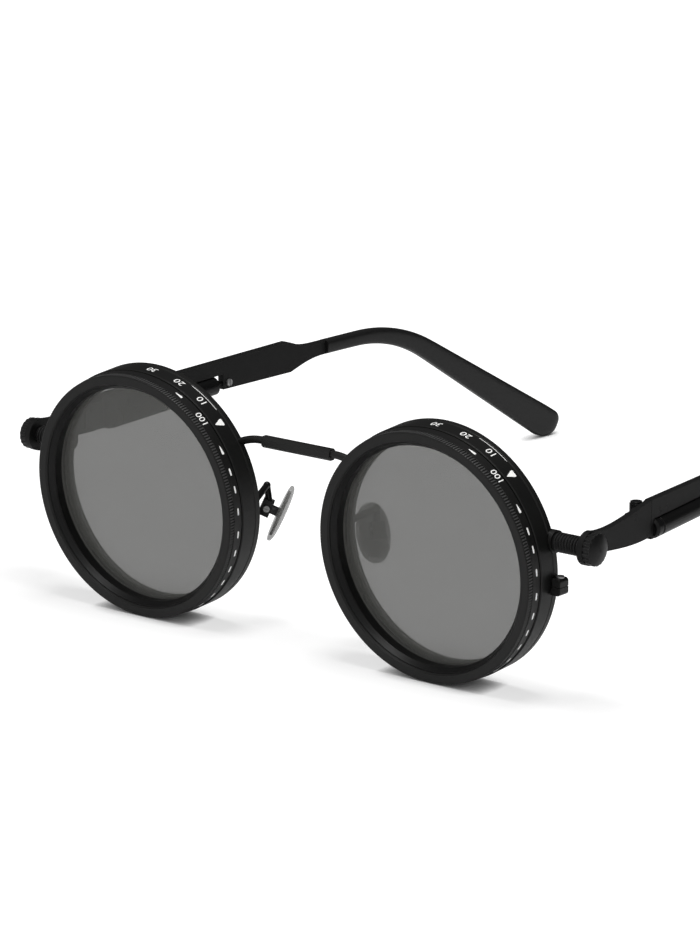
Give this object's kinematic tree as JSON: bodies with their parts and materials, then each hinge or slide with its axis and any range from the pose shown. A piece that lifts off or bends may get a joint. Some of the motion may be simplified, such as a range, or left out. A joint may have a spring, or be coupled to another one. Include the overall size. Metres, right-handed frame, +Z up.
{
  "type": "polarized sunglasses",
  "caption": "Round metal sunglasses whose polarized front lenses sit in knurled dial rings that turn before the rear lenses to change the tint, with folding temples.",
  "frame": {"origin": "on the table under the middle of the bounding box, with the glasses standing on their rings and temple tips", "axes": "+X towards the side called right, as seen from in front, +Y from the front of the rings back along the open temples, +Z up"},
  "size_m": [0.1304, 0.1604, 0.0462],
  "materials": {
    "black_metal": "satin black coat on metal",
    "black_satin": "satin black anodised",
    "dark_steel": "blackened steel",
    "lens": "neutral grey polarized lens, glossy",
    "black_plastic": "satin black plastic",
    "silicone": "translucent silicone"
  },
  "bodies": {
    "frame": {"left_rim": "black_metal", "right_rim": "black_metal", "left_rim_screw": "dark_steel", "right_rim_screw": "dark_steel", "bridge": "black_metal", "left_filter_body": "black_satin", "right_filter_body": "black_satin", "left_rear_lens": "lens", "right_rear_lens": "lens", "left_rear_retainer": "black_satin", "right_rear_retainer": "black_satin", "left_dial_clip": "dark_steel", "right_dial_clip": "dark_steel", "left_stop_screw": "dark_steel", "right_stop_screw": "dark_steel", "left_stud": "black_metal", "right_stud": "black_metal", "left_knob": "black_metal", "right_knob": "black_metal", "left_end_piece": "black_satin", "right_end_piece": "black_satin", "left_front_hinge": "dark_steel", "right_front_hinge": "dark_steel", "end_piece_rivets": "dark_steel", "left_hinge_screw": "dark_steel", "right_hinge_screw": "dark_steel", "left_pad_arm": "black_metal", "right_pad_arm": "black_metal", "left_pad_screw": "dark_steel", "right_pad_screw": "dark_steel"},
    "left_dial": {"left_dial_ring": "black_satin", "left_front_lens": "lens", "left_front_retainer": "black_satin"},
    "left_temple_arm": {"left_rear_hinge": "dark_steel", "left_temple": "black_satin", "left_temple_rivets": "dark_steel", "left_temple_rod": "black_metal", "left_rod_screw": "dark_steel", "left_tip": "black_plastic"},
    "left_pad": {"left_pad_core": "dark_steel", "left_nose_pad": "silicone"},
    "right_dial": {"right_dial_ring": "black_satin", "right_front_lens": "lens", "right_front_retainer": "black_satin"},
    "right_temple_arm": {"right_rear_hinge": "dark_steel", "right_temple": "black_satin", "right_temple_rivets": "dark_steel", "right_temple_rod": "black_metal", "right_rod_screw": "dark_steel", "right_tip": "black_plastic"},
    "right_pad": {"right_pad_core": "dark_steel", "right_nose_pad": "silicone"}
  },
  "joints": [
    {"name": "left_temple_fold", "type": "hinge", "parent": "frame", "child": "left_temple_arm", "pos_m": [-0.06016, -0.05375, 0.0302], "axis": [0, 0, -1], "range_deg": [0, 88]},
    {"name": "right_temple_fold", "type": "hinge", "parent": "frame", "child": "right_temple_arm", "pos_m": [0.06016, -0.05375, 0.0302], "axis": [0, 0, 1], "range_deg": [0, 80]},
    {"name": "left_dial_turn", "type": "hinge", "parent": "frame", "child": "left_dial", "pos_m": [-0.0329, -0.07525, 0.02292], "axis": [0, -0.9972, -0.075], "range_deg": [0, 90]},
    {"name": "right_dial_turn", "type": "hinge", "parent": "frame", "child": "right_dial", "pos_m": [0.0329, -0.07525, 0.02292], "axis": [0, -0.9972, -0.075], "range_deg": [0, 90]},
    {"name": "left_pad_rock", "type": "hinge", "parent": "frame", "child": "left_pad", "pos_m": [-0.0126, -0.06527, 0.02148], "axis": [-0.5736, 0.8192, 0], "range_deg": [-8, 8]},
    {"name": "right_pad_rock", "type": "hinge", "parent": "frame", "child": "right_pad", "pos_m": [0.0126, -0.06527, 0.02148], "axis": [0.5736, 0.8192, 0], "range_deg": [-8, 8]}
  ]
}
